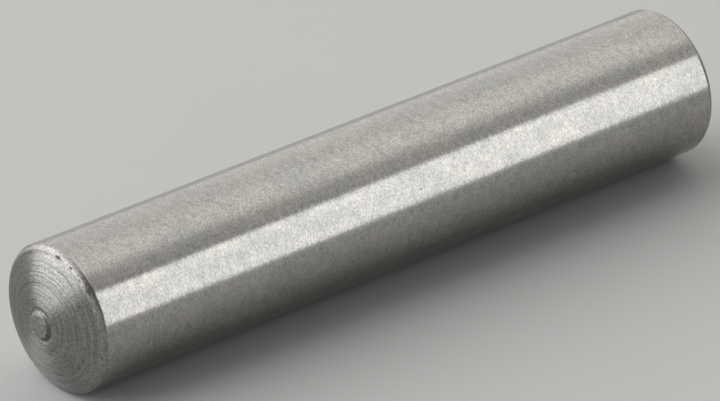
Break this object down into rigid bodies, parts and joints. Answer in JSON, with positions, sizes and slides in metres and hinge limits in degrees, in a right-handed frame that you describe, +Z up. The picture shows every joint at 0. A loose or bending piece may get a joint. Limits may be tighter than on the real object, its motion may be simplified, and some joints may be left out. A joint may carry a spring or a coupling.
{
  "type": "dowel pin",
  "caption": "Solid steel parallel dowel pin with a ground shank, shallow domed ends, rounded rims and a small parting nib, pressed into reamed holes to line up two parts.",
  "frame": {"origin": "middle of the parallel shank, on the pin's axis", "axes": "+X along the pin's axis towards its plain end, so the parted-off end with the nib points to -X; +Z up, with the pin lying on its side"},
  "size_m": [0.0321, 0.006, 0.006],
  "materials": {
    "stainless_steel": "bare stainless steel, centreless-ground on the shank and turned on the ends"
  },
  "bodies": {
    "root": {"dowel_pin": "stainless_steel"}
  },
  "joints": []
}
